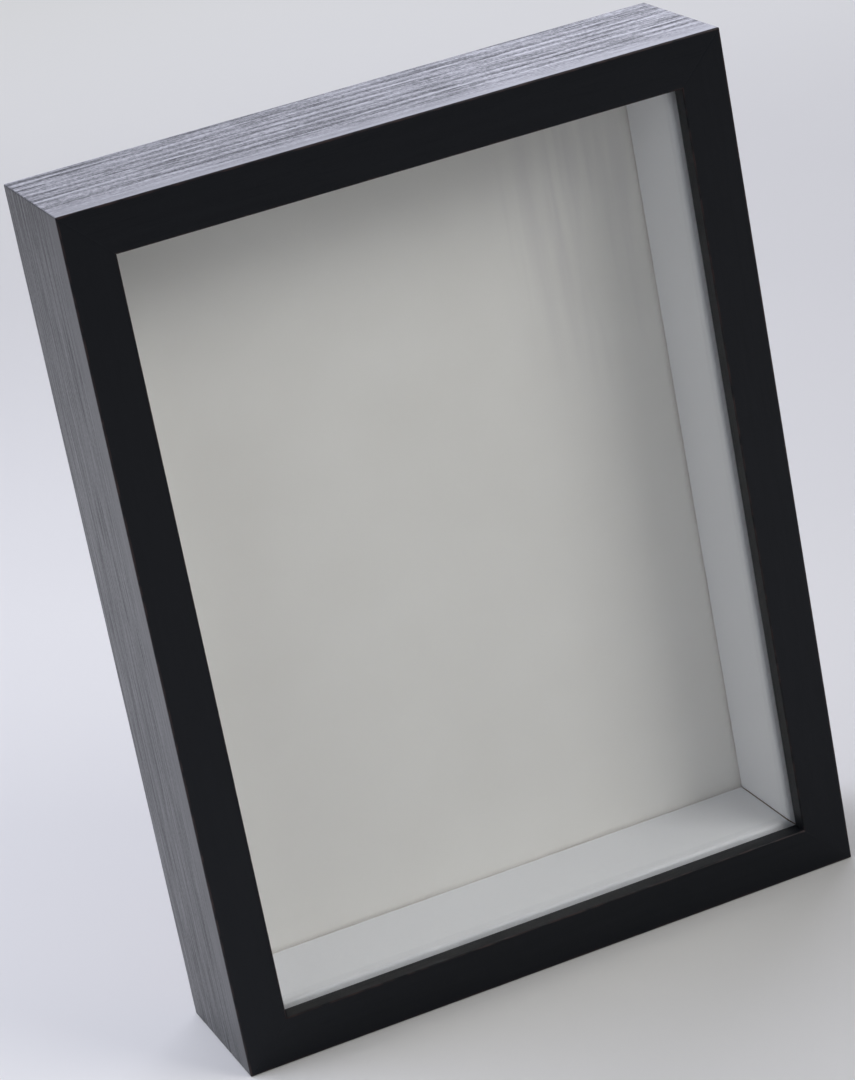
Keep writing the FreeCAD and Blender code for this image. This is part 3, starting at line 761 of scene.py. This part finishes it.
def felted_fibres_group():
    """Short fibres lying three ways: noise drawn out eight times along each direction, cut to its peaks."""
    group, start, end = new_group(
        "felted_fibres", [("Vector", "NodeSocketVector", None)], [("Fibres", "NodeSocketFloat")]
    )
    nodes, links = group.nodes, group.links
    total = None
    for turn in (0.2, 1.3, 2.3):
        lie = nodes.new("ShaderNodeMapping")
        lie.vector_type = "TEXTURE"
        lie.inputs["Location"].default_value = (0, turn, 0)
        lie.inputs["Rotation"].default_value = (0, turn, 0)
        lie.inputs["Scale"].default_value = (8, 1, 1)
        links.new(start.outputs["Vector"], lie.inputs["Vector"])
        drawn = nodes.new("ShaderNodeTexNoise")
        drawn.inputs["Scale"].default_value = 2600.0
        drawn.inputs["Detail"].default_value = 2.0
        links.new(lie.outputs[0], drawn.inputs["Vector"])
        peaks = value_map(nodes, links, drawn.outputs["Fac"], 0.52, 0.72, 0.0, 1.0)
        total = peaks if total is None else math_node(nodes, links, "MAXIMUM", total, peaks)
    links.new(total, end.inputs["Fibres"])
    return group


def hardboard():
    """Pressed fibre: brown and mottled, with pale fibres felted into it and a dull polish."""
    material, nodes, links, surface = new_material("hardboard")
    place = nodes.new("ShaderNodeTexCoord")
    dots = place_group(nodes, links, speckle, place.outputs["Object"], Scale=1900.0)
    felt = place_group(nodes, links, felted_fibres, place.outputs["Object"])
    dark_brown, mid_brown = (0.115, 0.066, 0.036), (0.185, 0.112, 0.064)
    brown = ramp(nodes, links, dots.outputs["Mask"], (0.3, dark_brown), (0.75, mid_brown))
    pale = math_node(nodes, links, "MULTIPLY", felt.outputs["Fibres"], 0.38)
    links.new(mix_colour(nodes, links, pale, brown, (0.30, 0.20, 0.125)), surface.inputs["Base Color"])
    dull = value_map(nodes, links, felt.outputs["Fibres"], 0.0, 1.0, 0.46, 0.62)
    links.new(dull, surface.inputs["Roughness"])
    relief = math_node(nodes, links, "ADD", felt.outputs["Fibres"], dots.outputs["Height"])
    bump(nodes, links, surface, relief, 0.02 * MM)
    return material


felted_fibres = felted_fibres_group()
dress("back_board", hardboard())


# ---- V nails --------------------------------------------------------------------------------------------
# Bent steel wedges that hold the mitres together: two, one behind the other, are pressed into the rear of
# each corner.


def steel(name, light, dark, low, high, speck_scale):
    """Bare or plated steel: its tone runs from dark to light, its roughness from low to high."""
    material, nodes, links, surface = new_material(name)
    place = nodes.new("ShaderNodeTexCoord")
    dots = place_group(nodes, links, speckle, place.outputs["Object"], Scale=speck_scale)
    tone = ramp(nodes, links, dots.outputs["Mask"], (0.2, dark), (0.8, light))
    links.new(tone, surface.inputs["Base Color"])
    polish = value_map(nodes, links, dots.outputs["Mask"], 0.2, 0.8, low, high)
    links.new(polish, surface.inputs["Roughness"])
    surface.inputs["Metallic"].default_value = 1.0
    bump(nodes, links, surface, dots.outputs["Height"], 0.006 * MM)
    return material


dress("corner_v_nails", steel("nail_steel", (0.45, 0.44, 0.43), (0.30, 0.29, 0.28), 0.35, 0.55, 1800.0))


# ---- Retaining tabs -------------------------------------------------------------------------------------
# Flexible spring steel points shot into the inner walls, two to a side. They lie over the back board, bowed
# a little; on the real case they fold flat to the walls for the back to lift out, but here they are drawn
# lying.

spring_steel = steel("spring_steel", (0.50, 0.50, 0.51), (0.36, 0.37, 0.39), 0.25, 0.42, 2600.0)
tab_length, tab_sunk, tab_half, tab_rise = 9.5 * MM, 4.5 * MM, 3 * MM, 0.5 * MM
point_length, corner_clip = 3 * MM, 1 * MM
level_spread, upright_spread = 70 * MM, 110 * MM


def tab_row(side, spread, to_wall):
    """Two tabs in one moulding: a strip carried from its point in the wood to its tip.

    At a distance s from the wall, the half width follows an outline pointed at one end and clipped at the
    other, and the strip's middle stands off by a * sin(pi t) squared, t being the share outside the wood.
    """
    low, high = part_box(f"retaining_tabs_{side}")
    shoulder, clip_start = point_length - tab_sunk, tab_length - corner_clip
    outline_s = [-tab_sunk, shoulder, clip_start, tab_length]
    outline_half = [0.05 * MM, tab_half, tab_half, tab_half - corner_clip]
    point = np.linspace(-tab_sunk, shoulder, 5)
    blade = np.linspace(-1 * MM, clip_start, 22)
    tip = np.linspace(clip_start + 0.2 * MM, tab_length, 5)
    s = np.concatenate([point, blade, tip])
    half = np.interp(s, outline_s, outline_half)[:, None]
    bow = tab_rise * np.sin(math.pi * np.clip(s / tab_length, 0, 1))[:, None] ** 2
    corners = [(-1, -1), (1, -1), (1, 1), (-1, 1)]
    section = rounded_outline(corners, [0.2] * 4, [0.3, 1, 0.3, 1], 3)[0][::-1]
    half_sheet = (high.y - low.y) / 2
    width = section[None, :, 0] * half
    depth = (low.y + high.y) / 2 + section[None, :, 1] * half_sheet + bow
    inside = to_wall - s[:, None] + 0 * width
    points, faces = [], []
    for number, shift in enumerate((-spread / 2, spread / 2)):
        points.append(place_side(side, width + shift, inside, depth))
        start = number * width.size
        faces += [[start + corner for corner in face_row] for face_row in tube_faces(*width.shape)]
    piece = new_mesh_object(f"spring_tabs_{side}", np.concatenate(points), faces)
    piece.data.shade_smooth()
    return piece


for side in ("top", "right", "bottom", "left"):
    level = side in ("top", "bottom")
    to_wall = (height / 2 if level else half_width) - wall
    piece = tab_row(side, level_spread if level else upright_spread, to_wall)
    piece.data.materials.append(spring_steel)
    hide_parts(f"retaining_tabs_{side}")
    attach(piece, "frame")
    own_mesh(piece)


# ---- Hangers --------------------------------------------------------------------------------------------
# Two D rings, one for each way up: nickel plated wire, held by a zinc plated strip folded round it, which a
# domed rivet fixes to the back board.

zinc = steel("zinc_plate", (0.66, 0.67, 0.69), (0.52, 0.53, 0.55), 0.22, 0.38, 1400.0)
nickel = steel("nickel_plate", (0.72, 0.69, 0.64), (0.62, 0.59, 0.54), 0.10, 0.24, 1400.0)
leaf, foot, half_strap, foot_rounding = 0.6 * MM, 12 * MM, 4 * MM, 3.2 * MM
wire_radius, eye_clearance = 0.8 * MM, 0.08 * MM
edge_rounding = 0.12 * MM
last_turn = math.radians(60)


def folded_strap(way, turned):
    """A strip folded round the wire: a rounded rectangle carried along a line (y, z) about the eye.

    The line runs up the under leaf, round the eye as r * (-cos a, sin a), down a quadratic curve and back
    over the upper leaf. The half width is w - c + sqrt(c^2 - (c - s)^2) within c of the rounded foot.
    """
    eye_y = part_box(f"{way}_d_ring")[0].y + wire_radius
    radius = wire_radius + leaf / 2 + eye_clearance
    near_foot = foot - foot_rounding * (1 - np.cos(np.linspace(0, math.pi / 2, 9)))
    up = np.stack([np.full(9, -radius), -near_foot], 1)
    a = np.linspace(0, math.pi + last_turn, 30)
    loop = radius * np.stack([-np.cos(a), np.sin(a)], 1)
    bend_start, t = loop[-1], np.linspace(0, 1, 8)[1:, None]
    level = -radius + leaf
    leaving = np.array([-math.sin(last_turn), -math.cos(last_turn)])
    bend_corner = bend_start + leaving * (level - bend_start[0]) / leaving[0]
    bend_end = np.array([level, bend_corner[1] - 0.9 * MM])
    fold = (1 - t) ** 2 * bend_start + 2 * t * (1 - t) * bend_corner + t**2 * bend_end
    down = np.stack([np.full(9, level), -near_foot[::-1]], 1)
    line = np.concatenate([up, loop, fold, down])
    heading = np.gradient(line, axis=0)
    heading /= np.linalg.norm(heading, axis=1)[:, None]
    off = np.stack([-heading[:, 1], heading[:, 0]], 1)
    to_foot = np.clip(foot + line[:, 1], 0, foot_rounding)
    width = half_strap - foot_rounding + np.sqrt(foot_rounding**2 - (foot_rounding - to_foot) ** 2)
    corners = [(-1, -1), (1, -1), (1, 1), (-1, 1)]
    section = rounded_outline(corners, [0.3] * 4, [0.2, 1, 0.2, 1], 4)[0][::-1]
    round_in = edge_rounding * (1 - np.abs(section[:, 1]))
    side_run = section[None, :, 0] * (width[:, None] - edge_rounding) + np.sign(section[:, 0]) * round_in
    spot = line[:, None, :] + off[:, None, :] * section[None, :, 1, None] * leaf / 2
    y, z = spot[..., 0] + eye_y, spot[..., 1]
    low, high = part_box(f"{way}_hanger_strap")
    if turned:
        points = np.stack([z + high.x - radius - leaf / 2, y, (low.z + high.z) / 2 - side_run], -1)
    else:
        points = np.stack([side_run, y, z + high.z - radius - leaf / 2], -1)
    piece = new_mesh_object(f"{way}_folded_strap", points.reshape(-1, 3), tube_faces(*side_run.shape))
    piece.data.shade_smooth()
    return piece


for way in ("upright", "sideways"):
    strap = folded_strap(way, way == "sideways")
    strap.data.materials.append(zinc)
    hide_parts(f"{way}_hanger_strap")
    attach(strap, "back_panel")
    dress(f"{way}_hanger_rivet", nickel)
    dress(f"{way}_d_ring", nickel)
